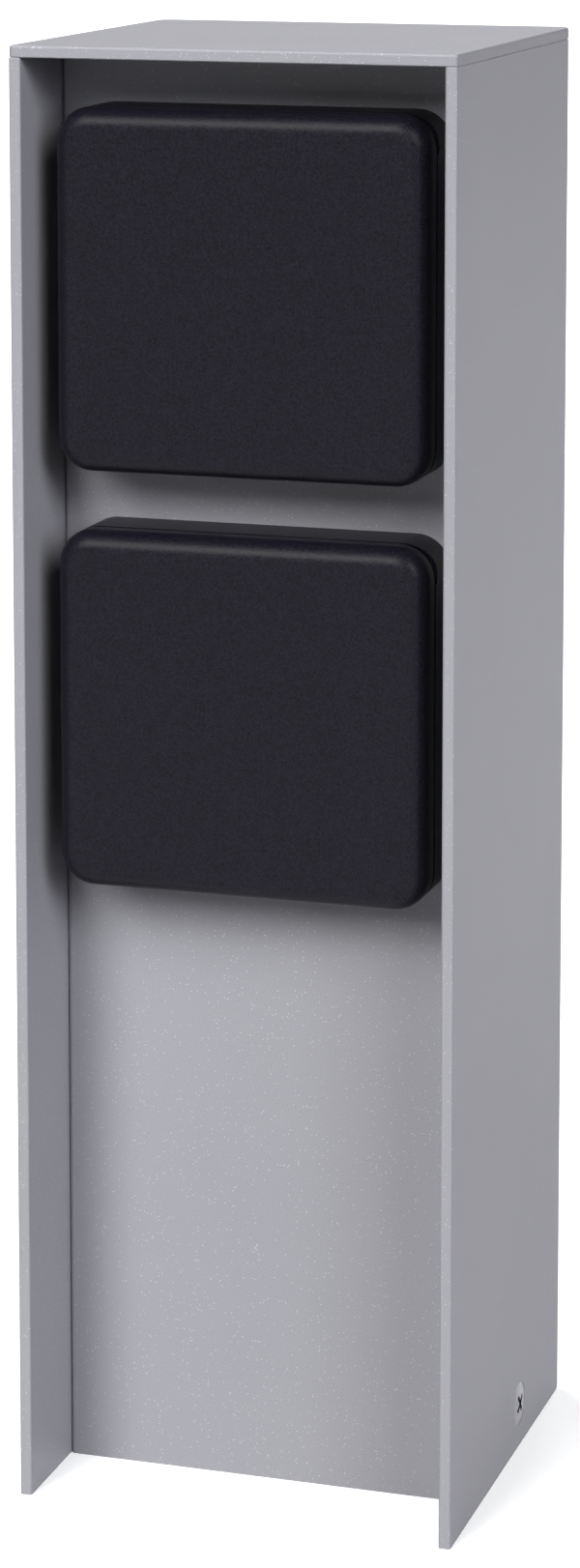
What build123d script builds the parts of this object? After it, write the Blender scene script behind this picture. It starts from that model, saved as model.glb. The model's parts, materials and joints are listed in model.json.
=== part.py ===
from build123d import *
from math import hypot, radians, sqrt, tan
import os

# Outdoor socket post: a folded aluminium column with a recessed front panel that carries two
# sockets with sprung lids, one above the other.  X is across, Y runs from front to back and Z is
# up.  The origin is the middle of the foot.  Millimetres throughout.

# ---- column -------------------------------------------------------------------------------
post_width = 90.0
post_depth = 90.0
post_height = 293.0
wall = 2.4
rear_bend_radius = 3.0
edge_break = 0.5
joint_edge_break = 0.2
heel_radius = 4.5
cap_thickness = 2.4
cap_edge_break = 0.5
cap_front_corner_radius = 0.9
recess_depth = 22.8
panel_thickness = 2.5
panel_bend_radius = 1.0
panel_flange_length = 16.0
skirt_thickness = 2.0
skirt_height = 12.0
skirt_clearance = 0.1

# ---- foot ---------------------------------------------------------------------------------
foot_thickness = 3.0
foot_clearance = 0.4
foot_bend_radius = 1.5
foot_ear_height = 18.0
foot_ear_length = 34.0
foot_ear_setback = 3.8
foot_screw_y = 9.6
foot_screw_z = 9.0
foot_screw_radius = 2.5
foot_screw_length = 12.0
foot_screw_head_radius = 4.4
foot_screw_dome = 0.3
foot_screw_sink = 0.15
foot_screw_recess_length = 4.6
foot_screw_recess_width = 1.0
foot_screw_recess_depth = 2.2
foot_screw_turn = 35.0
foot_screw_hole_clearance = 0.25
head_seat_clearance = 0.05
clinch_nut_radius = 4.0
clinch_nut_length = 4.0
anchor_spacing_x = 56.0
anchor_spacing_y = 36.0
anchor_center_y = 12.0
anchor_slot_width = 7.0
anchor_slot_length = 14.0
cable_entry_radius = 12.5
grommet_bore_radius = 8.0
grommet_flange_radius = 15.0
grommet_flange_thickness = 2.0
grommet_foot_gap = 0.2

# ---- connection space ---------------------------------------------------------------------
carrier_thickness = 2.0
carrier_width = 40.0
carrier_top = 66.0
carrier_face_y = 36.0
carrier_tab_length = 9.0
carrier_tab_width = 16.0
carrier_bend_radius = 1.0
terminal_pitch = 12.0
terminal_block_depth = 16.0
terminal_block_height = 22.0
terminal_block_z = 51.0
terminal_bore_radius = 1.7
terminal_block_chamfer = 3.0
terminal_screw_offset = 5.25
sleeve_width = 6.0
sleeve_length = 17.0
sleeve_clearance = 0.05
m3_radius = 1.5
m3_head_radius = 2.7
m3_head_height = 1.8
m3_slot_length = 3.2
m3_slot_width = 0.5
m4_radius = 2.0
m4_head_radius = 3.6
m4_head_height = 2.2
clamp_cable_radius = 5.5
clamp_strap = 2.0
clamp_height = 8.0
clamp_z = 20.0
clamp_screw_x = 11.2
clamp_half_width = 15.0
earth_stud_x = -26.0
earth_stud_y = 10.0
earth_stud_height = 12.0
earth_nut_width = 8.0
earth_nut_height = 4.0
washer_radius = 5.0
washer_thickness = 1.0
lug_thickness = 1.0
lug_barrel_radius = 2.3
lug_barrel_length = 6.0
lug_reach = 8.0
wire_entry = 0.8
wire_slack = 9.0
link_wire_slack = 6.3
wire_bend_share = 0.45
bond_wire_lead = 4.0
bond_wire_side = 4.0
bond_wire_drop = 8.0
bond_wire_turn = 5.0
bond_wire_low = 3.0
bond_wire_shift = 2.0

# ---- sockets ------------------------------------------------------------------------------
socket_width = 76.0
socket_height = 71.8
socket_corner_radius = 7.0
socket_top_margin = 9.8
socket_gap = 11.6
base_depth = 11.3
base_front_wall = 3.0
base_rim = 6.5
base_edge_break = 0.6
gasket_inset = 1.5
gasket_width = 3.0
gasket_thickness = 1.0
collar_radius = 27.0
collar_height = 2.0
cup_radius = 23.0
cup_clearance = 0.1
cup_flange_radius = 25.0
cup_flange_thickness = 2.3
cup_flange_clearance = 0.1
panel_hole_clearance = 0.75
outlet_radius = 19.5
outlet_depth = 17.5
outlet_floor = 3.0
outlet_lead_in = 1.0
pin_spacing = 19.0
pin_hole_radius = 2.6
guide_rib_width = 5.4
guide_rib_height = 1.6
clip_slot_width = 7.0
clip_slot_radius = 21.6
base_screw_x = 30.5
base_screw_below_top = 15.9
base_screw_above_bottom = 8.4
base_screw_radius = 1.95
base_screw_head_radius = 3.7
base_screw_length = 15.0
base_screw_clearance = 0.15
base_screw_post_radius = 4.6

# ---- contacts behind each socket ----------------------------------------------------------
block_width = 41.0
block_height = 32.0
block_depth = 16.0
block_corner_radius = 4.0
block_front_wall = 1.0
contact_width = 7.6
contact_bore_radius = 2.45
contact_rear_gap = 3.0
contact_clearance = 0.1
terminal_offset_x = 16.2
terminal_offset_y = 9.0
terminal_box_width = 6.2
terminal_box_depth = 6.6
wire_radius = 1.3
wire_hole_radius = 1.5
earth_strap_width = 10.0
earth_strap_thickness = 1.2
earth_bend_radius = 0.96
earth_clip_width = 6.0
earth_arm_radius = 20.2
earth_clip_tip_radius = 16.4
earth_box_width = 8.0
block_screw_x = 10.5
block_screw_z = 10.0
block_screw_radius = 1.4
block_screw_head_radius = 2.5
block_screw_head_height = 1.6
block_screw_bite = 2.0

# ---- lids ---------------------------------------------------------------------------------
lid_depth = 6.1
lid_gap = 0.6
lid_wall = 1.8
lid_edge_radius = 3.8
lid_inner_edge_radius = 1.6
hinge_below_top = 4.2
hinge_behind_front = 4.2
hinge_sweep_clearance = 0.3
pin_radius = 1.0
pin_clearance = 0.05
pin_half_length = 29.5
hinge_ear_x = 22.0
hinge_ear_width = 4.0
hinge_knuckle_radius = 2.1
hinge_side_gap = 0.4
hinge_ear_relief = 0.9
hinge_ear_root = 9.0
lid_boss_width = 4.6
seal_width = 3.0
seal_gap = 0.1
spring_wire_radius = 0.3
spring_mean_radius = 1.5
spring_turns = 7.5
spring_pitch = 1.5
spring_leg_length = 5.0
hook_width = 3.2
hook_height = 1.2
hook_thickness = 0.6

# ---- derived places -----------------------------------------------------------------------
inner_half_width = post_width / 2 - wall
front_y = -post_depth / 2
rear_inner_y = post_depth / 2 - wall
panel_face_y = front_y + recess_depth
panel_back_y = panel_face_y + panel_thickness
shell_height = post_height - cap_thickness
base_front_y = panel_face_y - base_depth
collar_front_y = base_front_y - collar_height
lid_back_y = base_front_y - lid_gap
lid_front_y = lid_back_y - lid_depth
lid_inner_y = lid_front_y + lid_wall
hinge_y = lid_front_y + hinge_behind_front
hinge_height = socket_height / 2 - hinge_below_top
hinge_groove_radius = hypot(lid_depth - hinge_behind_front, hinge_below_top) + hinge_sweep_clearance
outlet_floor_y = collar_front_y + outlet_depth
cup_back_y = outlet_floor_y + outlet_floor
block_back_y = cup_back_y + block_depth
contact_front_y = cup_back_y + block_front_wall
contact_back_y = block_back_y - contact_rear_gap
terminal_y = cup_back_y + terminal_offset_y
terminal_block_y = carrier_face_y - terminal_block_depth / 2
upper_socket_z = shell_height - socket_top_margin - socket_height / 2
lower_socket_z = upper_socket_z - socket_height - socket_gap
sockets = {"lower": lower_socket_z, "upper": upper_socket_z}
base_screw_zs = (socket_height / 2 - base_screw_below_top, base_screw_above_bottom - socket_height / 2)
base_screw_places = [(x, z) for x in (-base_screw_x, base_screw_x) for z in base_screw_zs]
foot_plate_front_y = panel_face_y + panel_flange_length + foot_clearance
foot_ear_y = foot_plate_front_y + foot_ear_setback + foot_ear_length / 2

os.makedirs("parts", exist_ok=True)


def facing_front(y, z=0.0):
    """A plane that looks out of the front: its x is across and its y is up."""
    return Plane(origin=(0, y, z), x_dir=(1, 0, 0), z_dir=(0, -1, 0))


def facing_side(x):
    """A plane that looks to the right: its x runs back and its y is up."""
    return Plane(origin=(x, 0, 0), x_dir=(0, 1, 0), z_dir=(1, 0, 0))


def save(part, label):
    """Name a finished piece and write it."""
    part.label = label
    export_step(part, f"parts/{label}.step")


# ---- column -------------------------------------------------------------------------------
def make_post_shell():
    with BuildPart() as shell:
        with BuildSketch():
            with Locations((0, front_y)):
                Rectangle(post_width, post_depth, align=(Align.CENTER, Align.MIN))
            fillet(vertices().group_by(Axis.Y)[-1], rear_bend_radius)
            with Locations((0, front_y)):
                Rectangle(
                    2 * inner_half_width,
                    post_depth - wall,
                    align=(Align.CENTER, Align.MIN),
                    mode=Mode.SUBTRACT,
                )
            fillet(vertices().group_by(Axis.Y)[0], edge_break)
            inside = vertices().filter_by(lambda v: abs(abs(v.X) - inner_half_width) < edge_break)
            fillet(inside.group_by(Axis.Y)[-1], rear_bend_radius - wall)
        extrude(amount=shell_height)
        chamfer(faces().sort_by(Axis.Z)[-1].outer_wire().edges(), joint_edge_break)
        with BuildSketch(facing_side(0)):
            with Locations((post_depth / 2, 0)):
                Rectangle(heel_radius, heel_radius, align=(Align.MAX, Align.MIN))
            with Locations((post_depth / 2 - heel_radius, heel_radius)):
                Circle(heel_radius, mode=Mode.SUBTRACT)
        extrude(amount=post_width / 2, both=True, mode=Mode.SUBTRACT)
        for side in (-1, 1):
            hole_plane = Plane(
                origin=(side * post_width / 2, foot_screw_y, foot_screw_z),
                x_dir=(0, 1, 0),
                z_dir=(side, 0, 0),
            )
            with Locations(hole_plane):
                CounterSinkHole(
                    foot_screw_radius + foot_screw_hole_clearance,
                    foot_screw_head_radius + foot_screw_sink + head_seat_clearance,
                    depth=2 * wall,
                    counter_sink_angle=90,
                )
    save(shell.part, "post_shell")


def make_socket_panel():
    flange_end_y = panel_face_y + panel_flange_length
    with BuildPart() as panel:
        with BuildSketch():
            with Locations((0, panel_face_y)):
                Rectangle(2 * inner_half_width, panel_flange_length, align=(Align.CENTER, Align.MIN))
            fillet(vertices().group_by(Axis.Y)[0], panel_bend_radius)
            with Locations((0, panel_back_y)):
                Rectangle(
                    2 * (inner_half_width - panel_thickness),
                    flange_end_y - panel_back_y,
                    align=(Align.CENTER, Align.MIN),
                    mode=Mode.SUBTRACT,
                )
        extrude(amount=shell_height)
        for z in sockets.values():
            with BuildSketch(facing_front(panel_back_y, z)):
                Circle(cup_radius + panel_hole_clearance)
                with Locations(*base_screw_places):
                    Circle(base_screw_radius)
            extrude(amount=panel_thickness, mode=Mode.SUBTRACT)
    save(panel.part, "socket_panel")


def make_top_cap():
    with BuildPart() as cap:
        with BuildSketch(Plane.XY.offset(shell_height)):
            Rectangle(post_width, post_depth)
            fillet(vertices().group_by(Axis.Y)[-1], rear_bend_radius)
            fillet(vertices().group_by(Axis.Y)[0], cap_front_corner_radius)
        extrude(amount=cap_thickness)
        fillet(faces().sort_by(Axis.Z)[-1].edges(), cap_edge_break)
        chamfer(faces().sort_by(Axis.Z)[0].edges(), joint_edge_break)
    save(cap.part, "top_cap")


def make_cap_skirt():
    half_width = inner_half_width - panel_thickness - skirt_clearance
    front = panel_back_y + skirt_clearance
    depth = rear_inner_y - skirt_clearance - front
    with BuildPart() as skirt:
        with BuildSketch(Plane.XY.offset(shell_height)):
            with Locations((0, front + depth / 2)):
                Rectangle(2 * half_width, depth)
                Rectangle(
                    2 * (half_width - skirt_thickness), depth - 2 * skirt_thickness, mode=Mode.SUBTRACT
                )
        extrude(amount=-skirt_height)
    save(skirt.part, "cap_skirt")


# ---- foot ---------------------------------------------------------------------------------
def make_foot_bracket():
    tongue_half_width = inner_half_width - panel_thickness - 2 * foot_clearance
    plate_back = rear_inner_y - foot_clearance
    tongue_front = panel_back_y + foot_clearance
    with BuildPart() as foot:
        with BuildSketch():
            with Locations((0, foot_plate_front_y)):
                Rectangle(
                    2 * inner_half_width, plate_back - foot_plate_front_y, align=(Align.CENTER, Align.MIN)
                )
            fillet(vertices().group_by(Axis.Y)[-1], rear_bend_radius)
            with Locations((0, tongue_front)):
                Rectangle(
                    2 * tongue_half_width,
                    foot_plate_front_y - tongue_front,
                    align=(Align.CENTER, Align.MIN),
                )
            with Locations((0, anchor_center_y)):
                with GridLocations(anchor_spacing_x, anchor_spacing_y, 2, 2):
                    SlotOverall(anchor_slot_length, anchor_slot_width, mode=Mode.SUBTRACT)
                Circle(cable_entry_radius, mode=Mode.SUBTRACT)
        extrude(amount=foot_thickness)
        for side in (-1, 1):
            bend_x = side * (inner_half_width - foot_thickness - foot_bend_radius)
            with BuildSketch(Plane.XZ.offset(-foot_ear_y)):
                with Locations((side * (inner_half_width - foot_thickness / 2), 0)):
                    Rectangle(foot_thickness, foot_ear_height, align=(Align.CENTER, Align.MIN))
                with Locations((side * (inner_half_width - foot_thickness), foot_thickness)):
                    Rectangle(
                        foot_bend_radius,
                        foot_bend_radius,
                        align=(Align.MAX if side > 0 else Align.MIN, Align.MIN),
                    )
                with Locations((bend_x, foot_thickness + foot_bend_radius)):
                    Circle(foot_bend_radius, mode=Mode.SUBTRACT)
            extrude(amount=foot_ear_length / 2, both=True)
            with BuildSketch(facing_side(side * inner_half_width)):
                with Locations((foot_screw_y, foot_screw_z)):
                    Circle(foot_screw_radius + foot_screw_hole_clearance)
            extrude(amount=-side * foot_thickness, mode=Mode.SUBTRACT)
        with BuildSketch():
            with Locations((0, carrier_face_y - carrier_tab_length / 2)):
                Circle(m4_radius)
        extrude(amount=foot_thickness, mode=Mode.SUBTRACT)
    save(foot.part, "foot_bracket")


def make_foot_screws():
    cone_depth = foot_screw_head_radius - foot_screw_radius
    outer_x = post_width / 2 - foot_screw_sink
    ball_radius = (foot_screw_head_radius**2 + foot_screw_dome**2) / (2 * foot_screw_dome)
    half_way = foot_screw_head_radius / 2
    half_way_height = foot_screw_dome - ball_radius + sqrt(ball_radius**2 - half_way**2)
    with BuildPart() as screws:
        for side in (-1, 1):
            with BuildSketch(facing_front(foot_screw_y, foot_screw_z)):
                with BuildLine():
                    axis_line = Line(
                        (side * (outer_x - foot_screw_length), 0), (side * (outer_x + foot_screw_dome), 0)
                    )
                    dome = ThreePointArc(
                        axis_line @ 1,
                        (side * (outer_x + half_way_height), half_way),
                        (side * outer_x, foot_screw_head_radius),
                    )
                    Polyline(
                        dome @ 1,
                        (side * (outer_x - cone_depth), foot_screw_radius),
                        (side * (outer_x - foot_screw_length), foot_screw_radius),
                        axis_line @ 0,
                    )
                make_face()
            revolve(axis=Axis((0, foot_screw_y, foot_screw_z), (1, 0, 0)))
            recess_plane = Plane(
                origin=(side * (outer_x + 2 * foot_screw_dome), foot_screw_y, foot_screw_z),
                x_dir=(0, 1, 0),
                z_dir=(side, 0, 0),
            )
            with BuildSketch(recess_plane):
                Rectangle(foot_screw_recess_length, foot_screw_recess_width, rotation=foot_screw_turn)
                Rectangle(foot_screw_recess_width, foot_screw_recess_length, rotation=foot_screw_turn)
            extrude(amount=-foot_screw_dome - foot_screw_recess_depth, mode=Mode.SUBTRACT)
    save(screws.part, "foot_screws")


def make_clinch_nuts():
    inner_x = inner_half_width - foot_thickness
    with BuildPart() as nuts:
        for side in (-1, 1):
            with BuildSketch(facing_side(side * inner_x)):
                with Locations((foot_screw_y, foot_screw_z)):
                    Circle(clinch_nut_radius)
                    Circle(foot_screw_radius, mode=Mode.SUBTRACT)
            extrude(amount=-side * clinch_nut_length)
    save(nuts.part, "foot_clinch_nuts")


def make_cable_grommet():
    with BuildPart() as grommet:
        with BuildSketch(Plane.XY.offset(grommet_foot_gap)):
            with Locations((0, anchor_center_y)):
                Circle(cable_entry_radius)
        extrude(amount=foot_thickness - grommet_foot_gap)
        with BuildSketch(Plane.XY.offset(foot_thickness)):
            with Locations((0, anchor_center_y)):
                Circle(grommet_flange_radius)
        extrude(amount=grommet_flange_thickness)
        fillet(edges().group_by(Axis.Z)[-1], grommet_flange_thickness / 2)
        with BuildSketch():
            with Locations((0, anchor_center_y)):
                Circle(grommet_bore_radius)
        extrude(amount=foot_thickness + grommet_flange_thickness, mode=Mode.SUBTRACT)
    save(grommet.part, "cable_grommet")


# ---- connection space ---------------------------------------------------------------------
def make_terminal_carrier():
    tab_y = carrier_face_y - carrier_tab_length / 2
    with BuildPart() as carrier:
        with BuildSketch(facing_front(carrier_face_y + carrier_thickness)):
            with Locations((0, foot_thickness)):
                Rectangle(carrier_width, carrier_top - foot_thickness, align=(Align.CENTER, Align.MIN))
            fillet(vertices().group_by(Axis.Y)[-1], 2 * carrier_bend_radius)
        extrude(amount=carrier_thickness)
        with BuildSketch(Plane.XY.offset(foot_thickness)):
            with Locations((0, tab_y)):
                Rectangle(carrier_tab_width, carrier_tab_length)
        extrude(amount=carrier_thickness)
        with BuildSketch(Plane.XY.offset(foot_thickness)):
            with Locations((0, tab_y)):
                Circle(m4_radius)
        extrude(amount=carrier_thickness, mode=Mode.SUBTRACT)
        with BuildSketch(facing_front(carrier_face_y + carrier_thickness)):
            with Locations((0, clamp_z)):
                with GridLocations(2 * clamp_screw_x, 0, 2, 1):
                    Circle(m3_radius)
            with Locations((0, terminal_block_z)):
                with GridLocations(terminal_pitch, 0, 2, 1):
                    Circle(m3_radius)
        extrude(amount=carrier_thickness, mode=Mode.SUBTRACT)
    save(carrier.part, "terminal_carrier")


def make_terminal_block():
    pole_xs = (-terminal_pitch, 0, terminal_pitch)
    screw_zs = (-terminal_screw_offset, terminal_screw_offset)
    length = 3 * terminal_pitch
    block_bottom = terminal_block_z - terminal_block_height / 2
    sleeve_hole = sleeve_width + 2 * sleeve_clearance
    front = terminal_block_y - terminal_block_depth / 2
    clamp_reach = terminal_block_y - sleeve_width / 2 - front
    clamp_tip_y = terminal_block_y - terminal_bore_radius
    with BuildPart() as block:
        with BuildSketch(Plane.XY.offset(block_bottom)):
            with Locations((0, terminal_block_y)):
                Rectangle(length, terminal_block_depth)
            with Locations(*[(x + terminal_pitch / 2, front) for x in pole_xs[:-1]]):
                Rectangle(2 * m3_radius, terminal_block_depth / 2, mode=Mode.SUBTRACT)
        extrude(amount=terminal_block_height)
        chamfer(edges().filter_by(Axis.X).group_by(Axis.Y)[0], terminal_block_chamfer)
        with BuildSketch(Plane.XY.offset(block_bottom)):
            with Locations(*[(x, terminal_block_y) for x in pole_xs]):
                Rectangle(sleeve_hole, sleeve_hole)
        extrude(amount=terminal_block_height, mode=Mode.SUBTRACT)
        with BuildSketch(facing_front(terminal_block_y, terminal_block_z)):
            with Locations(*[(x, z) for x in pole_xs for z in screw_zs]):
                Circle(m3_radius + sleeve_clearance)
        extrude(amount=terminal_block_depth, mode=Mode.SUBTRACT)
        with BuildSketch(facing_front(carrier_face_y, terminal_block_z)):
            with GridLocations(terminal_pitch, 0, 2, 1):
                Circle(m3_radius)
        extrude(amount=terminal_block_depth, mode=Mode.SUBTRACT)
    save(block.part, "terminal_block")

    with BuildPart() as sleeves:
        with BuildSketch(Plane.XY.offset(terminal_block_z - sleeve_length / 2)):
            with Locations(*[(x, terminal_block_y) for x in pole_xs]):
                Rectangle(sleeve_width, sleeve_width)
                Circle(terminal_bore_radius, mode=Mode.SUBTRACT)
        extrude(amount=sleeve_length)
        with BuildSketch(facing_front(terminal_block_y, terminal_block_z)):
            with Locations(*[(x, z) for x in pole_xs for z in screw_zs]):
                Circle(m3_radius)
        extrude(amount=terminal_block_depth, mode=Mode.SUBTRACT)
    save(sleeves.part, "terminal_sleeves")

    with BuildPart() as clamp_screws:
        with BuildSketch(facing_front(clamp_tip_y, terminal_block_z)):
            with Locations(*[(x, z) for x in pole_xs for z in screw_zs]):
                Circle(m3_radius)
        extrude(amount=clamp_reach)
        with BuildSketch(facing_front(clamp_tip_y - clamp_reach, terminal_block_z)):
            with Locations(*[(x, z) for x in pole_xs for z in screw_zs]):
                Rectangle(2 * m3_radius, m3_slot_width)
        extrude(amount=-m3_radius / 2, mode=Mode.SUBTRACT)
    save(clamp_screws.part, "terminal_clamp_screws")

    head_y = terminal_block_y
    with BuildPart() as fixing_screws:
        for x in (-terminal_pitch / 2, terminal_pitch / 2):
            with BuildSketch(facing_front(carrier_face_y + carrier_thickness, terminal_block_z)):
                with Locations((x, 0)):
                    Circle(m3_radius)
            extrude(amount=carrier_face_y + carrier_thickness - head_y)
            with BuildSketch(facing_front(head_y, terminal_block_z)):
                with Locations((x, 0)):
                    Circle(m3_radius)
            extrude(amount=m3_head_height)
    save(fixing_screws.part, "terminal_block_screws")


def make_cable_clamp():
    cable_y = carrier_face_y - clamp_cable_radius
    strap_half = clamp_cable_radius + clamp_strap
    with BuildPart() as clamp:
        with BuildSketch(Plane.XY.offset(clamp_z - clamp_height / 2)):
            with Locations((0, cable_y)):
                Circle(strap_half)
                Rectangle(2 * strap_half, clamp_cable_radius, align=(Align.CENTER, Align.MIN))
            with Locations((0, carrier_face_y)):
                Rectangle(2 * clamp_half_width, clamp_strap, align=(Align.CENTER, Align.MAX))
            with Locations((0, cable_y)):
                Circle(clamp_cable_radius, mode=Mode.SUBTRACT)
                Rectangle(
                    2 * clamp_cable_radius,
                    clamp_cable_radius,
                    align=(Align.CENTER, Align.MIN),
                    mode=Mode.SUBTRACT,
                )
            with Locations((0, carrier_face_y)):
                Rectangle(
                    2 * strap_half, strap_half, align=(Align.CENTER, Align.MIN), mode=Mode.SUBTRACT
                )
        extrude(amount=clamp_height)
        with BuildSketch(facing_front(carrier_face_y, clamp_z)):
            with GridLocations(2 * clamp_screw_x, 0, 2, 1):
                Circle(m3_radius)
        extrude(amount=clamp_strap, mode=Mode.SUBTRACT)
    save(clamp.part, "cable_clamp")

    with BuildPart() as screws:
        for x in (-clamp_screw_x, clamp_screw_x):
            with BuildSketch(facing_front(carrier_face_y + carrier_thickness, clamp_z)):
                with Locations((x, 0)):
                    Circle(m3_radius)
            extrude(amount=carrier_thickness + clamp_strap)
            with BuildSketch(facing_front(carrier_face_y - clamp_strap, clamp_z)):
                with Locations((x, 0)):
                    Circle(m3_head_radius)
                    Rectangle(m3_slot_length, m3_slot_width, mode=Mode.SUBTRACT)
            extrude(amount=m3_head_height)
    save(screws.part, "cable_clamp_screws")


def make_carrier_screw():
    tab_y = carrier_face_y - carrier_tab_length / 2
    with BuildPart() as screw:
        with BuildSketch(Plane.XY.offset(grommet_foot_gap)):
            with Locations((0, tab_y)):
                Circle(m4_radius)
        extrude(amount=foot_thickness + carrier_thickness - grommet_foot_gap)
        with BuildSketch(Plane.XY.offset(foot_thickness + carrier_thickness)):
            with Locations((0, tab_y)):
                Circle(m4_head_radius)
        extrude(amount=m4_head_height)
        fillet(edges().group_by(Axis.Z)[-1], m4_head_height / 2)
    save(screw.part, "carrier_screw")


def make_earth_stud():
    nut_bottom = foot_thickness + 2 * washer_thickness + lug_thickness
    with BuildPart() as stud:
        with BuildSketch(Plane.XY.offset(foot_thickness)):
            with Locations((earth_stud_x, earth_stud_y)):
                Circle(m4_radius)
        extrude(amount=earth_stud_height)
        chamfer(edges().group_by(Axis.Z)[-1], m4_radius / 4)
    save(stud.part, "earth_stud")

    with BuildPart() as washers:
        for level in (foot_thickness, nut_bottom - washer_thickness):
            with BuildSketch(Plane.XY.offset(level)):
                with Locations((earth_stud_x, earth_stud_y)):
                    Circle(washer_radius)
                    Circle(m4_radius, mode=Mode.SUBTRACT)
            extrude(amount=washer_thickness)
    save(washers.part, "earth_washers")

    with BuildPart() as nut:
        with BuildSketch(Plane.XY.offset(nut_bottom)):
            with Locations((earth_stud_x, earth_stud_y)):
                RegularPolygon(earth_nut_width / 2, 6, major_radius=False)
                Circle(m4_radius, mode=Mode.SUBTRACT)
        extrude(amount=earth_nut_height)
    save(nut.part, "earth_nut")

    lug_bottom = foot_thickness + washer_thickness
    barrel_y = earth_stud_y + lug_reach
    barrel_z = lug_bottom + lug_barrel_radius
    barrel_plane = Plane(origin=(earth_stud_x, barrel_y, barrel_z), x_dir=(1, 0, 0), z_dir=(0, 1, 0))
    with BuildPart() as lug:
        with BuildSketch(Plane.XY.offset(lug_bottom)):
            with Locations((earth_stud_x, earth_stud_y)):
                Circle(washer_radius)
                Rectangle(2 * lug_barrel_radius, lug_reach, align=(Align.CENTER, Align.MIN))
                Circle(m4_radius, mode=Mode.SUBTRACT)
        extrude(amount=lug_thickness)
        with BuildSketch(barrel_plane):
            Circle(lug_barrel_radius)
        extrude(amount=lug_barrel_length)
        with BuildSketch(barrel_plane):
            Circle(wire_hole_radius)
        extrude(amount=lug_barrel_length, mode=Mode.SUBTRACT)
    save(lug.part, "earth_lug")
    return Vector(earth_stud_x, barrel_y, barrel_z)


def make_wire(points, label):
    """One insulated wire: straight runs joined by arcs as large as the runs allow."""
    route = [Vector(*point) for point in points]
    runs = [b - a for a, b in zip(route[:-1], route[1:])]
    radii = []
    for before, after in zip(runs[:-1], runs[1:]):
        half_turn = radians(before.get_angle(after)) / 2
        radii.append(wire_bend_share * min(before.length, after.length) / tan(half_turn))
    with BuildPart() as wire:
        with BuildLine() as path:
            if radii:
                FilletPolyline(*route, radius=radii)
            else:
                Line(*route)
        with BuildSketch(Plane(origin=path.line @ 0, z_dir=path.line % 0)):
            Circle(wire_radius)
        sweep()
    save(wire.part, label)


def make_wires(earth_barrel):
    half_block = block_height / 2
    lower_entry_z = lower_socket_z - half_block - wire_slack
    terminal_top = terminal_block_z + terminal_block_height / 2
    pole_bottom = terminal_block_z - terminal_block_height / 2
    bond_x = earth_stud_x + bond_wire_shift
    places = (("live", terminal_pitch, terminal_offset_x), ("earth", 0, 0))
    places += (("neutral", -terminal_pitch, -terminal_offset_x),)
    for name, pole_x, socket_x in places:
        make_wire(
            [
                (pole_x, terminal_block_y, terminal_block_z + wire_entry),
                (pole_x, terminal_block_y, terminal_top + wire_slack),
                (socket_x, terminal_y + wire_slack, lower_entry_z - 2 * wire_slack),
                (socket_x, terminal_y, lower_entry_z),
                (socket_x, terminal_y, lower_socket_z - wire_entry),
            ],
            f"{name}_supply_wire",
        )
        make_wire(
            [
                (socket_x, terminal_y, lower_socket_z + wire_entry),
                (socket_x, terminal_y, lower_socket_z + half_block + link_wire_slack),
                (socket_x, terminal_y + wire_slack, (lower_socket_z + upper_socket_z) / 2),
                (socket_x, terminal_y, upper_socket_z - half_block - link_wire_slack),
                (socket_x, terminal_y, upper_socket_z - wire_entry),
            ],
            f"{name}_link_wire",
        )
    make_wire(
        [
            earth_barrel + Vector(0, wire_entry, 0),
            earth_barrel + Vector(0, lug_barrel_length + bond_wire_lead, 0),
            (bond_x, terminal_block_y + bond_wire_shift / 2, clamp_z - bond_wire_low),
            (-terminal_pitch - bond_wire_side, terminal_block_y, pole_bottom - bond_wire_drop),
            (0, terminal_block_y, pole_bottom - bond_wire_turn),
            (0, terminal_block_y, terminal_block_z - wire_entry),
        ],
        "earth_bond_wire",
    )


# ---- sockets ------------------------------------------------------------------------------
def facing_side_at_hinge(z):
    """A plane that looks to the right, with its origin on the lid's axis."""
    return Plane(origin=(0, hinge_y, z + hinge_height), x_dir=(0, 1, 0), z_dir=(1, 0, 0))


def socket_outline(inset=0.0):
    """The rounded outline that the base and its lid share, or one set in from it."""
    RectangleRounded(
        socket_width - 2 * inset, socket_height - 2 * inset, max(socket_corner_radius - inset, edge_break)
    )


def socket_outline_inset(inset):
    """The same outline set in, as a loose sketch."""
    with BuildSketch() as loose:
        socket_outline(inset)
    return loose.sketch


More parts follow.
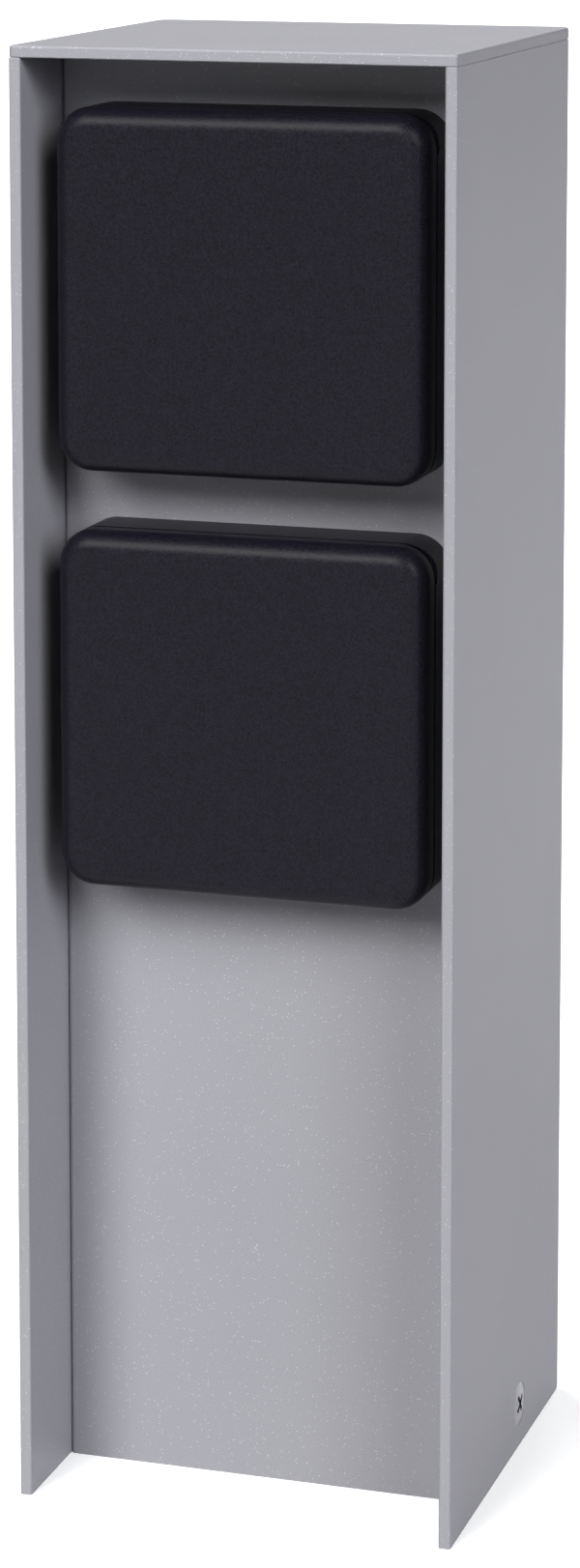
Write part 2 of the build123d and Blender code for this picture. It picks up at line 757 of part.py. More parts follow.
def make_socket_base(name, z):
    hinge_plane = facing_side_at_hinge(z)
    root_bottom = -hinge_groove_radius - hinge_ear_root + hinge_ear_width
    with BuildPart() as base:
        with BuildSketch(facing_front(panel_face_y, z)):
            socket_outline()
        extrude(amount=base_depth)
        fillet(faces().sort_by(Axis.Y)[0].edges(), base_edge_break)
        with BuildSketch(facing_front(base_front_y, z)):
            Circle(collar_radius)
        extrude(amount=collar_height)
        with BuildSketch(facing_front(panel_face_y, z)):
            Circle(cup_radius + cup_clearance)
        extrude(amount=base_depth + collar_height, mode=Mode.SUBTRACT)
        with BuildSketch(facing_front(panel_face_y, z)):
            Circle(cup_flange_radius + cup_flange_clearance)
        extrude(amount=cup_flange_thickness + cup_flange_clearance, mode=Mode.SUBTRACT)
        pocket_bottom = -socket_height / 2 + base_rim
        pocket_top = hinge_height - hinge_groove_radius - base_front_wall
        with BuildSketch(facing_front(panel_face_y, z)):
            with Locations((0, pocket_bottom)):
                Rectangle(
                    socket_width - 2 * base_rim,
                    pocket_top - pocket_bottom,
                    align=(Align.CENTER, Align.MIN),
                )
            Circle(cup_flange_radius + wall, mode=Mode.SUBTRACT)
            with Locations(*base_screw_places):
                Circle(base_screw_post_radius, mode=Mode.SUBTRACT)
        extrude(amount=base_depth - base_front_wall, mode=Mode.SUBTRACT)
        with BuildSketch(facing_front(panel_face_y, z)):
            socket_outline(gasket_inset)
            add(socket_outline_inset(gasket_inset + gasket_width), mode=Mode.SUBTRACT)
        extrude(amount=gasket_thickness, mode=Mode.SUBTRACT)
        with Locations(*[facing_front(base_front_y, z) * Pos(x, dz) for x, dz in base_screw_places]):
            CounterSinkHole(
                base_screw_radius + base_screw_clearance,
                base_screw_head_radius + base_screw_clearance,
                depth=base_depth,
                counter_sink_angle=90,
            )
        with BuildSketch(hinge_plane):
            Circle(hinge_groove_radius)
        extrude(amount=post_width / 2, both=True, mode=Mode.SUBTRACT)
        for x in (-hinge_ear_x, hinge_ear_x):
            with BuildSketch(hinge_plane.offset(x)):
                Circle(hinge_knuckle_radius)
                with Locations((-hinge_knuckle_radius, root_bottom)):
                    Rectangle(
                        hinge_knuckle_radius + hinge_ear_relief, -root_bottom, align=(Align.MIN, Align.MIN)
                    )
                    Rectangle(
                        hinge_knuckle_radius + base_front_y - hinge_y,
                        -root_bottom - hinge_groove_radius,
                        align=(Align.MIN, Align.MIN),
                    )
            extrude(amount=hinge_ear_width / 2, both=True)
        with BuildSketch(hinge_plane):
            Circle(pin_radius + pin_clearance)
        extrude(amount=hinge_ear_x + hinge_ear_width, both=True, mode=Mode.SUBTRACT)
    save(base.part, f"{name}_socket_base")


def make_panel_gasket(name, z):
    with BuildPart() as gasket:
        with BuildSketch(facing_front(panel_face_y, z)):
            socket_outline(gasket_inset)
            add(socket_outline_inset(gasket_inset + gasket_width), mode=Mode.SUBTRACT)
        extrude(amount=gasket_thickness)
    save(gasket.part, f"{name}_panel_gasket")


def make_base_screws(name, z):
    cone_depth = base_screw_head_radius - base_screw_radius
    with BuildPart() as screws:
        for x, dz in base_screw_places:
            with BuildSketch(Plane(origin=(x, base_front_y, z + dz), x_dir=(1, 0, 0), z_dir=(0, 0, 1))):
                with BuildLine():
                    Polyline(
                        (0, 0),
                        (base_screw_head_radius, 0),
                        (base_screw_radius, cone_depth),
                        (base_screw_radius, base_screw_length - base_screw_radius),
                        (0, base_screw_length),
                        close=True,
                    )
                make_face()
            revolve(axis=Axis((x, base_front_y, z + dz), (0, 1, 0)))
            with BuildSketch(facing_front(base_front_y, z)):
                with Locations((x, dz)):
                    Rectangle(base_screw_head_radius, base_screw_radius / 3)
                    Rectangle(base_screw_radius / 3, base_screw_head_radius)
            extrude(amount=-cone_depth, mode=Mode.SUBTRACT)
    save(screws.part, f"{name}_base_screws")


def make_socket_cup(name, z):
    with BuildPart() as cup:
        with BuildSketch(facing_front(cup_back_y, z)):
            Circle(cup_radius)
        extrude(amount=cup_back_y - collar_front_y)
        with BuildSketch(facing_front(panel_face_y, z)):
            Circle(cup_flange_radius)
        extrude(amount=cup_flange_thickness)
        with BuildSketch(facing_front(outlet_floor_y, z)):
            Circle(outlet_radius)
            with Locations((-outlet_radius, 0), (outlet_radius, 0)):
                Rectangle(2 * guide_rib_height, guide_rib_width, mode=Mode.SUBTRACT)
        extrude(amount=outlet_depth, mode=Mode.SUBTRACT)
        rim_edges = faces().sort_by(Axis.Y)[0].edges().filter_by(GeomType.CIRCLE)
        chamfer(rim_edges.filter_by(lambda e: abs(e.radius - outlet_radius) < edge_break), outlet_lead_in)
        with BuildSketch(facing_front(cup_back_y, z)):
            with Locations((0, -clip_slot_radius), (0, clip_slot_radius)):
                Rectangle(
                    clip_slot_width, 2 * (clip_slot_radius - earth_arm_radius + earth_strap_thickness)
                )
        extrude(amount=outlet_floor, mode=Mode.SUBTRACT)
        with BuildSketch(facing_front(outlet_floor_y, z)):
            Rectangle(clip_slot_width, 2 * clip_slot_radius)
        extrude(amount=outlet_depth - 2 * outlet_lead_in, mode=Mode.SUBTRACT)
        with BuildSketch(facing_front(cup_back_y, z)):
            with GridLocations(pin_spacing, 0, 2, 1):
                Circle(pin_hole_radius)
        extrude(amount=outlet_floor, mode=Mode.SUBTRACT)
        with BuildSketch(facing_front(cup_back_y, z)):
            with Locations((-block_screw_x, -block_screw_z), (block_screw_x, block_screw_z)):
                Circle(block_screw_radius)
        extrude(amount=block_screw_bite, mode=Mode.SUBTRACT)
    save(cup.part, f"{name}_socket_cup")


def make_contact_block(name, z):
    pocket_height = contact_width + 2 * contact_clearance
    pin_x = pin_spacing / 2
    pocket_inner = pin_x - contact_width / 2 - contact_clearance
    pocket_outer = terminal_offset_x + terminal_box_width / 2 + contact_clearance
    earth_pocket = earth_box_width + 2 * contact_clearance
    with BuildPart() as block:
        with BuildSketch(facing_front(block_back_y, z)):
            RectangleRounded(block_width, block_height, block_corner_radius)
        extrude(amount=block_depth)
        chamfer(faces().sort_by(Axis.Y)[-1].edges(), edge_break)
        for side in (-1, 1):
            with BuildSketch(facing_front(block_back_y, z)):
                with Locations((side * (pocket_inner + pocket_outer) / 2, 0)):
                    Rectangle(pocket_outer - pocket_inner, pocket_height)
            extrude(amount=block_depth - block_front_wall, mode=Mode.SUBTRACT)
        with BuildSketch(facing_front(block_back_y, z)):
            Rectangle(earth_pocket, earth_pocket)
            with GridLocations(pin_spacing, 0, 2, 1):
                Circle(pin_hole_radius)
        extrude(amount=block_depth, mode=Mode.SUBTRACT)
        with BuildSketch(facing_front(cup_back_y, z)):
            Rectangle(earth_strap_width, block_height)
        extrude(amount=-earth_strap_thickness, mode=Mode.SUBTRACT)
        with BuildSketch(Plane.XY.offset(z)):
            with Locations(*[(x, terminal_y) for x in (-terminal_offset_x, 0, terminal_offset_x)]):
                Circle(wire_hole_radius)
        extrude(amount=block_height / 2, both=True, mode=Mode.SUBTRACT)
        with BuildSketch(facing_front(block_back_y, z)):
            with Locations((-block_screw_x, -block_screw_z), (block_screw_x, block_screw_z)):
                Circle(block_screw_radius)
        extrude(amount=block_depth, mode=Mode.SUBTRACT)
    save(block.part, f"{name}_contact_block")

    with BuildPart() as screws:
        for side in (-1, 1):
            with BuildSketch(facing_front(block_back_y, z)):
                with Locations((side * block_screw_x, side * block_screw_z)):
                    Circle(block_screw_radius)
            extrude(amount=block_depth + block_screw_bite)
            with BuildSketch(facing_front(block_back_y, z)):
                with Locations((side * block_screw_x, side * block_screw_z)):
                    Circle(block_screw_head_radius)
            extrude(amount=-block_screw_head_height)
    save(screws.part, f"{name}_block_screws")


def make_contacts(name, z):
    length = contact_back_y - contact_front_y
    terminal_front_y = contact_back_y - terminal_box_depth
    for contact, side in (("live", 1), ("neutral", -1)):
        sleeve_x = side * pin_spacing / 2
        box_x = side * terminal_offset_x
        joint_x = (sleeve_x + box_x) / 2
        with BuildPart() as sleeve:
            with BuildSketch(facing_front(contact_back_y, z)):
                with Locations((sleeve_x, 0)):
                    Rectangle(contact_width, contact_width)
            extrude(amount=length)
            with BuildSketch(facing_front(contact_back_y, z)):
                with Locations((box_x, 0)):
                    Rectangle(terminal_box_width, contact_width)
                with Locations((joint_x, 0)):
                    Rectangle(abs(box_x - sleeve_x), contact_width)
            extrude(amount=contact_back_y - terminal_front_y)
            with BuildSketch(facing_front(contact_front_y, z)):
                with Locations((sleeve_x, 0)):
                    Circle(contact_bore_radius)
            extrude(amount=-(length - block_front_wall), mode=Mode.SUBTRACT)
            with BuildSketch(Plane.XY.offset(z)):
                with Locations((box_x, terminal_y)):
                    Circle(wire_hole_radius)
            extrude(amount=contact_width / 2, both=True, mode=Mode.SUBTRACT)
            with BuildSketch(facing_front(contact_back_y, z)):
                with Locations((box_x, 0)):
                    Circle(m3_radius)
            extrude(amount=contact_back_y - terminal_y, mode=Mode.SUBTRACT)
        save(sleeve.part, f"{name}_{contact}_contact")


def make_earth_bracket(name, z):
    strap_y = cup_back_y + earth_strap_thickness / 2
    tip_y = collar_front_y + 2 * outlet_lead_in + earth_strap_thickness
    return_y = outlet_floor_y - outlet_floor
    clip_middle = earth_clip_tip_radius + earth_strap_thickness / 2
    with BuildPart() as bracket:
        with BuildSketch(Plane(origin=(0, 0, z), x_dir=(0, 1, 0), z_dir=(1, 0, 0))):
            for side in (-1, 1):
                with BuildLine() as ribbon:
                    FilletPolyline(
                        (strap_y, 0),
                        (strap_y, side * earth_arm_radius),
                        (tip_y, side * earth_arm_radius),
                        (tip_y, side * (earth_arm_radius - 2 * earth_strap_thickness)),
                        ((tip_y + return_y) / 2, side * clip_middle),
                        (return_y, side * (earth_arm_radius - 2 * earth_strap_thickness)),
                        radius=earth_bend_radius,
                    )
                trace(ribbon.line, line_width=earth_strap_thickness)
        extrude(amount=earth_clip_width / 2, both=True)
        with BuildSketch(facing_front(cup_back_y + earth_strap_thickness, z)):
            Rectangle(earth_strap_width, block_height)
        extrude(amount=earth_strap_thickness)
        with BuildSketch(facing_front(contact_back_y, z)):
            Rectangle(earth_box_width, earth_box_width)
        extrude(amount=contact_back_y - cup_back_y - earth_strap_thickness)
        with BuildSketch(Plane.XY.offset(z)):
            with Locations((0, terminal_y)):
                Circle(wire_hole_radius)
        extrude(amount=earth_box_width / 2, both=True, mode=Mode.SUBTRACT)
        with BuildSketch(facing_front(contact_back_y, z)):
            Circle(m3_radius)
        extrude(amount=contact_back_y - terminal_y, mode=Mode.SUBTRACT)
    save(bracket.part, f"{name}_earth_bracket")


def make_terminal_screws(name, z):
    tip_y = terminal_y + wire_radius
    with BuildPart() as screws:
        for x in (-terminal_offset_x, 0, terminal_offset_x):
            with BuildSketch(facing_front(contact_back_y, z)):
                with Locations((x, 0)):
                    Circle(m3_radius)
            extrude(amount=contact_back_y - tip_y)
            with BuildSketch(facing_front(contact_back_y, z)):
                with Locations((x, 0)):
                    Circle(m3_head_radius)
                    Rectangle(m3_slot_length, m3_slot_width, mode=Mode.SUBTRACT)
            extrude(amount=-m3_head_height)
    save(screws.part, f"{name}_terminal_screws")


# ---- lids ---------------------------------------------------------------------------------
def make_lid(name, z):
    boss_outer = hinge_ear_width / 2 + hinge_side_gap
    hinge_plane = facing_side_at_hinge(z)
    plate_reach = hinge_y - lid_inner_y
    hook_z = -spring_leg_length + hook_height
    hook_x = spring_turns * spring_pitch / 2
    hook_back = -spring_mean_radius + spring_wire_radius + pin_clearance
    with BuildPart() as lid:
        with BuildSketch(facing_front(lid_back_y, z)):
            socket_outline()
        extrude(amount=lid_depth)
        fillet(faces().sort_by(Axis.Y)[0].edges(), lid_edge_radius)
        with BuildSketch(facing_front(lid_back_y, z)):
            socket_outline(lid_wall)
        extrude(amount=lid_depth - lid_wall, mode=Mode.SUBTRACT)
        inner_floor = faces().filter_by(Axis.Y).sort_by(Axis.Y)[1]
        fillet(inner_floor.edges(), lid_inner_edge_radius)
        for center in (-hinge_ear_x, hinge_ear_x):
            for side in (-1, 1):
                boss_x = center + side * (boss_outer + lid_boss_width / 2)
                with BuildSketch(hinge_plane.offset(boss_x)):
                    Circle(plate_reach)
                    Rectangle(plate_reach, 2 * plate_reach, align=(Align.MAX, Align.CENTER))
                extrude(amount=lid_boss_width / 2, both=True)
        with BuildSketch(hinge_plane.offset(-pin_half_length)):
            Circle(pin_radius)
        extrude(amount=2 * pin_half_length, mode=Mode.SUBTRACT)
        with BuildSketch(hinge_plane.offset(hook_x)):
            with Locations((-plate_reach, hook_z)):
                Rectangle(
                    plate_reach + hook_back + hook_thickness, hook_height, align=(Align.MIN, Align.CENTER)
                )
        extrude(amount=hook_width / 2, both=True)
        with BuildSketch(hinge_plane.offset(hook_x)):
            with Locations((-plate_reach, hook_z)):
                Rectangle(plate_reach + hook_back, hook_height, align=(Align.MIN, Align.CENTER))
        extrude(amount=2 * spring_wire_radius, both=True, mode=Mode.SUBTRACT)
    save(lid.part, f"{name}_lid")


def make_lid_seal(name, z):
    middle = (collar_radius + cup_radius) / 2
    with BuildPart() as seal:
        with BuildSketch(facing_front(collar_front_y - seal_gap, z)):
            Circle(middle + seal_width / 2)
            Circle(middle - seal_width / 2, mode=Mode.SUBTRACT)
        extrude(amount=collar_front_y - seal_gap - lid_inner_y)
        fillet(edges().group_by(Axis.Y)[-1], seal_width / 4)
    save(seal.part, f"{name}_lid_seal")


def make_hinge_pin(name, z):
    with BuildPart() as pin:
        with BuildSketch(facing_side_at_hinge(z)):
            Circle(pin_radius)
        extrude(amount=pin_half_length, both=True)
        chamfer(edges().filter_by(GeomType.CIRCLE), pin_radius / 4)
    save(pin.part, f"{name}_hinge_pin")


def make_lid_spring(name, z):
    coil_length = spring_turns * spring_pitch
    coil_plane = facing_side_at_hinge(z).offset(-coil_length / 2)
    with BuildPart() as spring:
        with BuildLine() as path:
            coil = Helix(spring_pitch, coil_length, spring_mean_radius, mode=Mode.PRIVATE)
            add(coil_plane * coil)
        start = path.line @ 0
        end = path.line @ 1
        with BuildSketch(Plane(origin=start, z_dir=path.line % 0)):
            Circle(spring_wire_radius)
        sweep()
        for tip in (start, end):
            with BuildSketch(Plane(origin=tip + Vector(0, 0, spring_wire_radius), z_dir=(0, 0, -1))):
                Circle(spring_wire_radius)
            extrude(amount=spring_leg_length)
    save(spring.part, f"{name}_lid_spring")


make_post_shell()
make_socket_panel()
make_top_cap()
make_cap_skirt()
make_foot_bracket()
make_foot_screws()
make_clinch_nuts()
make_cable_grommet()
make_terminal_carrier()
make_terminal_block()
make_cable_clamp()
make_carrier_screw()
make_wires(make_earth_stud())
for socket_name, socket_z in sockets.items():
    make_socket_base(socket_name, socket_z)
    make_panel_gasket(socket_name, socket_z)
    make_base_screws(socket_name, socket_z)
    make_socket_cup(socket_name, socket_z)
    make_contact_block(socket_name, socket_z)
    make_contacts(socket_name, socket_z)
    make_earth_bracket(socket_name, socket_z)
    make_terminal_screws(socket_name, socket_z)
    make_lid(socket_name, socket_z)
    make_lid_seal(socket_name, socket_z)
    make_hinge_pin(socket_name, socket_z)
    make_lid_spring(socket_name, socket_z)
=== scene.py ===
import json
import math

import bmesh
import bpy
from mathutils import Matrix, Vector


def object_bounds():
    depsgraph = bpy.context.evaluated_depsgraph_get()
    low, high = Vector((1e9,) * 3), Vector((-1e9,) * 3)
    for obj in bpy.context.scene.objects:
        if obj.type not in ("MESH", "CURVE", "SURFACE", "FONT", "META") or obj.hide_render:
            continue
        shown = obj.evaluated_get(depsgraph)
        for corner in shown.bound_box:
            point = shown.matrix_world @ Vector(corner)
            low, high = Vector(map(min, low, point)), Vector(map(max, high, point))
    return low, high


# An outdoor socket post: a silver-grey powder-coated column with a recessed panel and two black
# sprung lids.  Everything is in metres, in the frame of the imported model.

MM = 0.001
CAMERA_PLACE = Vector((0.25136, -0.80406, 0.34568))
CAMERA_YAW = math.radians(17.49)
CAMERA_PITCH = math.radians(7.36)
CAMERA_LENS = 96.57
CAMERA_SHIFT = -0.30
STUDIO_RADIUS = 6.0
STUDIO_HEIGHT = 8.0
STUDIO_SIDES = 64
LIGHT_SPREAD = math.radians(26)
WORLD_STRENGTH = 0.06
WHITE = (1.0, 1.0, 1.0, 1.0)

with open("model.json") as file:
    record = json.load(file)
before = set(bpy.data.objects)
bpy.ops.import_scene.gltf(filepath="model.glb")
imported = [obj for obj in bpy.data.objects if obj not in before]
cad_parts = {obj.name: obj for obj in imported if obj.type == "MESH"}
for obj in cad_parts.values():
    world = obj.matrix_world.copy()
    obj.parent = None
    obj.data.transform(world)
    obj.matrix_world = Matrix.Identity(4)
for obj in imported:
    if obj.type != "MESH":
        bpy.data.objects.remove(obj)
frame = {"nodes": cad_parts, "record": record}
cad_low, cad_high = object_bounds()
nodes = frame["nodes"]


# ---- node material helpers ----------------------------------------------------------------
class Material:
    """A principled material whose textures are in the object's own coordinates."""

    def __init__(self, name, **sockets):
        self.material = bpy.data.materials.new(name)
        self.material.use_nodes = True
        self.tree = self.material.node_tree
        self.shader = self.tree.nodes["Principled BSDF"]
        self.coordinates = self.tree.nodes.new("ShaderNodeTexCoord").outputs["Object"]
        for socket, value in sockets.items():
            self.shader.inputs[socket.replace("_", " ")].default_value = value

    def link(self, source, target):
        self.tree.links.new(source, target)

    def noise(self, size, detail=2.0, roughness=0.5, stretch=None):
        """Soft noise whose lumps are about size metres across."""
        node = self.tree.nodes.new("ShaderNodeTexNoise")
        node.inputs["Scale"].default_value = 1.0 / size
        node.inputs["Detail"].default_value = detail
        node.inputs["Roughness"].default_value = roughness
        self.link(self.stretched(stretch), node.inputs["Vector"])
        return node.outputs["Fac"]

    def stretched(self, stretch):
        """The coordinates, squeezed along each axis by its factor."""
        if stretch is None:
            return self.coordinates
        node = self.tree.nodes.new("ShaderNodeMapping")
        node.inputs["Scale"].default_value = stretch
        self.link(self.coordinates, node.inputs["Vector"])
        return node.outputs["Vector"]

    def cells(self, size):
        """Random cells about size metres across: their grey value and the distance from their centre."""
        node = self.tree.nodes.new("ShaderNodeTexVoronoi")
        node.inputs["Scale"].default_value = 1.0 / size
        self.link(self.coordinates, node.inputs["Vector"])
        grey = self.tree.nodes.new("ShaderNodeSeparateColor")
        self.link(node.outputs["Color"], grey.inputs["Color"])
        return grey.outputs["Red"], node.outputs["Distance"]

    def ramp(self, value, low, high, start, end):
        """Maps value from low..high to start..end."""
        node = self.tree.nodes.new("ShaderNodeMapRange")
        for name, number in (("From Min", low), ("From Max", high), ("To Min", start), ("To Max", end)):
            node.inputs[name].default_value = number
        self.link(value, node.inputs["Value"])
        return node.outputs["Result"]

    def math(self, operation, first, second):
        node = self.tree.nodes.new("ShaderNodeMath")
        node.operation = operation
        for socket, value in zip(node.inputs, (first, second)):
            if isinstance(value, (int, float)):
                socket.default_value = value
            else:
                self.link(value, socket)
        return node.outputs["Value"]

    def mix(self, factor, first, second):
        """Mixes two colours, each a tuple or an output."""
        node = self.tree.nodes.new("ShaderNodeMix")
        node.data_type = "RGBA"
        self.link(factor, node.inputs["Factor"])
        for socket, value in ((node.inputs[6], first), (node.inputs[7], second)):
            if isinstance(value, tuple):
                socket.default_value = (*value, 1.0)
            else:
                self.link(value, socket)
        return node.outputs[2]

    def edges(self, radius):
        """1 near the sharp edges of the mesh, 0 elsewhere."""
        bevel = self.tree.nodes.new("ShaderNodeBevel")
        bevel.samples = 6
        bevel.inputs["Radius"].default_value = radius
        geometry = self.tree.nodes.new("ShaderNodeNewGeometry")
        product = self.tree.nodes.new("ShaderNodeVectorMath")
        product.operation = "DOT_PRODUCT"
        self.link(bevel.outputs["Normal"], product.inputs[0])
        self.link(geometry.outputs["Normal"], product.inputs[1])
        return self.ramp(product.outputs["Value"], 0.995, 0.85, 0.0, 1.0)

    def bump(self, *layers):
        """Stacks bumps, each (height output, height in metres, strength)."""
        normal = None
        for height, distance, strength in layers:
            node = self.tree.nodes.new("ShaderNodeBump")
            node.inputs["Distance"].default_value = distance
            node.inputs["Strength"].default_value = strength
            self.link(height, node.inputs["Height"])
            if normal is not None:
                self.link(normal, node.inputs["Normal"])
            normal = node.outputs["Normal"]
        self.link(normal, self.shader.inputs["Normal"])

    def set(self, socket, source):
        self.link(source, self.shader.inputs[socket])


def powder_coat():
    """Fine-textured silver powder coat: soft orange peel, powder grain and scattered metal flakes."""
    m = Material("powder_coat_silver", Specular_IOR_Level=0.25)
    cloud = m.ramp(m.noise(45 * MM, 3), 0.3, 0.7, 0.0, 1.0)
    tone = m.mix(cloud, (0.336, 0.336, 0.366), (0.350, 0.350, 0.378))
    grain = m.noise(0.30 * MM, 2)
    grained = m.mix(m.ramp(grain, 0.35, 0.65, 0.0, 0.38), tone, (0.262, 0.262, 0.280))
    value, distance = m.cells(0.34 * MM)
    flake = m.math("MULTIPLY", m.math("GREATER_THAN", value, 0.955), m.math("LESS_THAN", distance, 0.36))
    # Painted highlight: along the sharp edges the coat is mixed towards a lighter grey, in patches, where
    # the edges catch the light.
    painted_edge_highlight = m.edges(0.45 * MM)
    patchy = m.ramp(m.noise(1.6 * MM, 3), 0.45, 0.62, 0.05, 0.45)
    edge_highlighted_coat = m.mix(m.math("MULTIPLY", painted_edge_highlight, patchy), grained, (0.50, 0.50, 0.51))
    m.set("Base Color", m.mix(m.math("MULTIPLY", flake, 0.4), edge_highlighted_coat, (0.85, 0.85, 0.86)))
    m.set("Metallic", m.ramp(flake, 0.0, 1.0, 0.10, 0.5))
    m.set("Roughness", m.ramp(flake, 0.0, 1.0, 0.50, 0.40))
    m.bump((m.noise(1.6 * MM, 1), 0.03 * MM, 0.08), (grain, 0.045 * MM, 0.6))
    return m.material


def moulded_black(name, color, grain_size=0.42 * MM, roughness=0.38):
    """Moulded black plastic with an eroded fine grain and a slight satin sheen."""
    m = Material(name, Specular_IOR_Level=0.125)
    grain = m.noise(grain_size, 3, 0.6)
    pits, peaks = tuple(0.35 * c for c in color), tuple(1.7 * c for c in color)
    m.set("Base Color", m.mix(m.ramp(grain, 0.34, 0.66, 0.0, 1.0), pits, peaks))
    m.set("Roughness", m.ramp(grain, 0.3, 0.7, roughness - 0.05, roughness + 0.07))
    m.bump((m.noise(5 * MM, 1), 0.03 * MM, 0.08), (grain, 0.05 * MM, 1.0))
    return m.material


def moulded_light(name, color):
    """Matt moulded thermoset with a faint mottle."""
    m = Material(name)
    mottle = m.ramp(m.noise(5 * MM, 4), 0.3, 0.7, 0.0, 1.0)
    m.set("Base Color", m.mix(mottle, color, tuple(0.86 * c for c in color)))
    m.set("Roughness", m.ramp(m.noise(1 * MM, 2), 0.3, 0.7, 0.5, 0.65))
    m.bump((m.noise(0.5 * MM, 2), 0.02 * MM, 0.4))
    return m.material


def rubber():
    """Matt black rubber with a bloom of dust."""
    m = Material("black_rubber")
    bloom = m.ramp(m.noise(3 * MM, 4), 0.4, 0.75, 0.0, 1.0)
    m.set("Base Color", m.mix(bloom, (0.017, 0.017, 0.018), (0.04, 0.039, 0.038)))
    m.set("Roughness", m.ramp(m.noise(1.2 * MM, 2), 0.3, 0.7, 0.7, 0.88))
    m.bump((m.noise(0.4 * MM, 2), 0.03 * MM, 0.4))
    return m.material


def metal(name, color, roughness):
    """Bare or plated metal with fine grain, a cloudy tone and edges painted brighter as a painted
    highlight.
    """
    m = Material(name, Metallic=1.0)
    cloud = m.mix(m.ramp(m.noise(4 * MM, 3), 0.3, 0.7, 0.0, 1.0), color, tuple(0.82 * c for c in color))
    # Painted highlight: the colour is lightened along the sharp edges, as a glint on the rims.
    edge_glint_color = tuple(min(1.0, 1.25 * c) for c in color)
    m.set("Base Color", m.mix(m.math("MULTIPLY", m.edges(0.25 * MM), 0.5), cloud, edge_glint_color))
    grain = m.noise(0.25 * MM, 2, 0.6)
    m.set("Roughness", m.ramp(grain, 0.25, 0.75, roughness - 0.07, roughness + 0.10))
    m.bump((grain, 0.008 * MM, 0.5))
    return m.material


def zinc_plated():
    """Zinc plating: crystalline patches of slightly different grey."""
    m = Material("zinc_plated_steel", Metallic=1.0)
    patch, _ = m.cells(2.5 * MM)
    m.set("Base Color", m.mix(patch, (0.50, 0.51, 0.53), (0.62, 0.62, 0.62)))
    m.set("Roughness", m.ramp(patch, 0.0, 1.0, 0.32, 0.48))
    m.bump((m.noise(0.5 * MM, 2), 0.01 * MM, 0.4))
    return m.material


def insulation(name, color, stripe=None):
    """Extruded PVC insulation; the earth lead has two coloured stripes along it."""
    m = Material(name)
    base = m.mix(m.ramp(m.noise(6 * MM, 2), 0.3, 0.7, 0.0, 1.0), color, tuple(0.85 * c for c in color))
    if stripe is not None:
        band = m.noise(2.6 * MM, 0, 0.5, (1.0, 1.0, 0.06))
        base = m.mix(m.math("GREATER_THAN", band, 0.5), base, stripe)
    m.set("Base Color", base)
    m.set("Roughness", m.ramp(m.noise(1 * MM, 2), 0.3, 0.7, 0.32, 0.45))
    m.bump((m.noise(0.8 * MM, 1), 0.01 * MM, 0.3))
    return m.material


MATERIALS = {
    "powder_coat_silver": powder_coat(),
    "zinc_plated_steel": zinc_plated(),
    "stainless_steel": metal("stainless_steel", (0.26, 0.26, 0.28), 0.26),
    "spring_steel": metal("spring_steel", (0.46, 0.46, 0.48), 0.28),
    "black_plastic": moulded_black("black_plastic", (0.0070, 0.0066, 0.0110)),
    "cup_plastic": moulded_black("cup_plastic", (0.022, 0.022, 0.024), 0.5 * MM, 0.42),
    "block_plastic": moulded_light("block_plastic", (0.30, 0.30, 0.29)),
    "terminal_plastic": moulded_light("terminal_plastic", (0.66, 0.63, 0.56)),
    "black_rubber": rubber(),
    "brass": metal("brass", (0.72, 0.52, 0.24), 0.28),
    "tinned_copper": metal("tinned_copper", (0.62, 0.60, 0.57), 0.34),
    "wire_brown": insulation("wire_brown", (0.10, 0.038, 0.018)),
    "wire_blue": insulation("wire_blue", (0.03, 0.12, 0.42)),
    "wire_green_yellow": insulation("wire_green_yellow", (0.04, 0.28, 0.05), (0.70, 0.56, 0.02)),
}
SLOTS = {entry["node"]: entry["material_slot"] for entry in frame["record"]["subparts"]}


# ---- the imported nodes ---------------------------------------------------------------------
def dress(node_name):
    """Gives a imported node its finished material."""
    node = nodes[node_name]
    node.data.materials.clear()
    node.data.materials.append(MATERIALS[SLOTS[node_name]])
    for polygon in node.data.polygons:
        polygon.material_index = 0


for node_name in nodes:
    dress(node_name)


# ---- floor, light and camera --------------------------------------------------------------
def soft_light(name, elevation, azimuth, strength, tint=(1.0, 1.0, 1.0)):
    """A broad soft light from far away; its azimuth is 0 at the front and grows to the right."""
    data = bpy.data.lights.new(name, "SUN")
    data.energy = math.pi * strength
    data.color = tint
    data.angle = LIGHT_SPREAD
    high, round_ = math.radians(elevation), math.radians(azimuth)
    toward = Vector((math.sin(round_) * math.cos(high), -math.cos(round_) * math.cos(high), math.sin(high)))
    light = bpy.data.objects.new(name, data)
    light.rotation_euler = toward.to_track_quat("Z", "Y").to_euler()
    bpy.context.scene.collection.objects.link(light)


def paper(name, glow):
    """White studio paper with a faint cloud, which glows a little so that its shadows stay pale."""
    m = Material(name, Roughness=0.9, Emission_Color=WHITE, Emission_Strength=glow)
    cloud = m.ramp(m.noise(0.5, 2), 0.3, 0.7, 0.0, 1.0)
    m.set("Base Color", m.mix(cloud, (0.90, 0.90, 0.90), (0.88, 0.88, 0.88)))
    return m.material


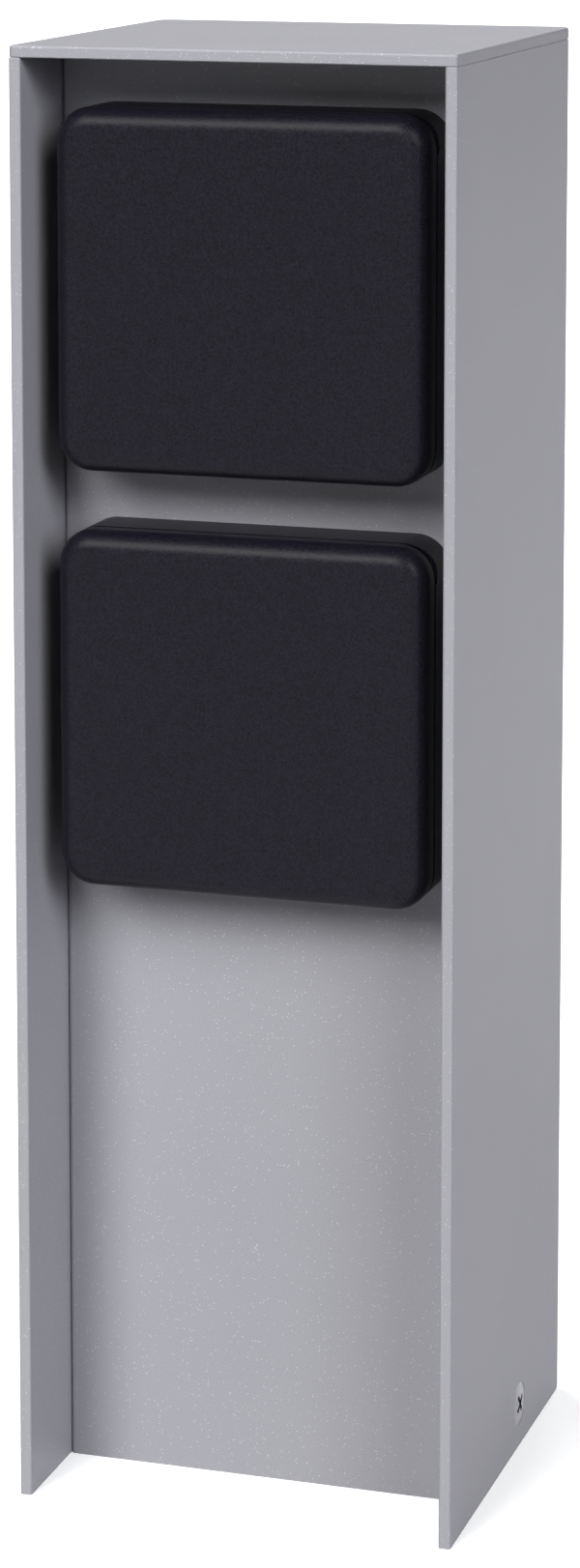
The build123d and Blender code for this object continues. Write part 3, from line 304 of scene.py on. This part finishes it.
def staged(name, form, material):
    """Makes a mesh object that belongs to the studio, which sends no diffuse light to the post."""
    mesh = bpy.data.meshes.new(name)
    form.to_mesh(mesh)
    form.free()
    mesh.materials.append(material)
    piece = bpy.data.objects.new(name, mesh)
    bpy.context.scene.collection.objects.link(piece)
    piece.visible_diffuse = False
    return piece


def ring(form, height):
    """The vertices of a circle round the post."""
    turns = [2 * math.pi * step / STUDIO_SIDES for step in range(STUDIO_SIDES)]
    places = [(STUDIO_RADIUS * math.cos(turn), STUDIO_RADIUS * math.sin(turn), height) for turn in turns]
    return [form.verts.new(place) for place in places]


def make_floor():
    """A wide round pale floor under the post."""
    form = bmesh.new()
    form.faces.new(ring(form, cad_low.z))
    staged("floor", form, paper("floor_paper", 0.35))


def make_backdrop():
    """A white wall at the floor's edge, which neither shades nor lights anything."""
    form = bmesh.new()
    bottom, top = ring(form, cad_low.z), ring(form, cad_low.z + STUDIO_HEIGHT)
    for step in range(STUDIO_SIDES):
        after = (step + 1) % STUDIO_SIDES
        form.faces.new((bottom[step], bottom[after], top[after], top[step]))
    backdrop = staged("backdrop", form, paper("backdrop_paper", 1.0))
    backdrop.visible_glossy = False
    backdrop.visible_shadow = False


def make_studio():
    """A dim white world and six broad lights."""
    scene = bpy.context.scene
    world = bpy.data.worlds.new("studio")
    scene.world = world
    world.use_nodes = True
    background = world.node_tree.nodes["Background"]
    background.inputs["Color"].default_value = WHITE
    background.inputs["Strength"].default_value = WORLD_STRENGTH
    scene.view_settings.view_transform = "Standard"
    soft_light("key", 30, -20, 0.67)
    soft_light("high", 45, -20, 0.33)
    soft_light("right", 30, 45, 0.51)
    soft_light("low_right", 15, 62, 0.26, (0.95, 0.96, 1.08))
    soft_light("back_left", 35, -130, 0.46)
    soft_light("back", 40, 180, 0.25)


def make_camera():
    """The picture's view of the post, from the front right and a little above."""
    data = bpy.data.cameras.new("camera")
    data.lens = CAMERA_LENS
    data.shift_y = CAMERA_SHIFT
    data.clip_start = 0.01
    camera = bpy.data.objects.new("camera", data)
    camera.location = CAMERA_PLACE
    camera.rotation_euler = (math.pi / 2 - CAMERA_PITCH, 0.0, CAMERA_YAW)
    bpy.context.scene.collection.objects.link(camera)
    bpy.context.scene.camera = camera


make_floor()
make_backdrop()
make_studio()
make_camera()
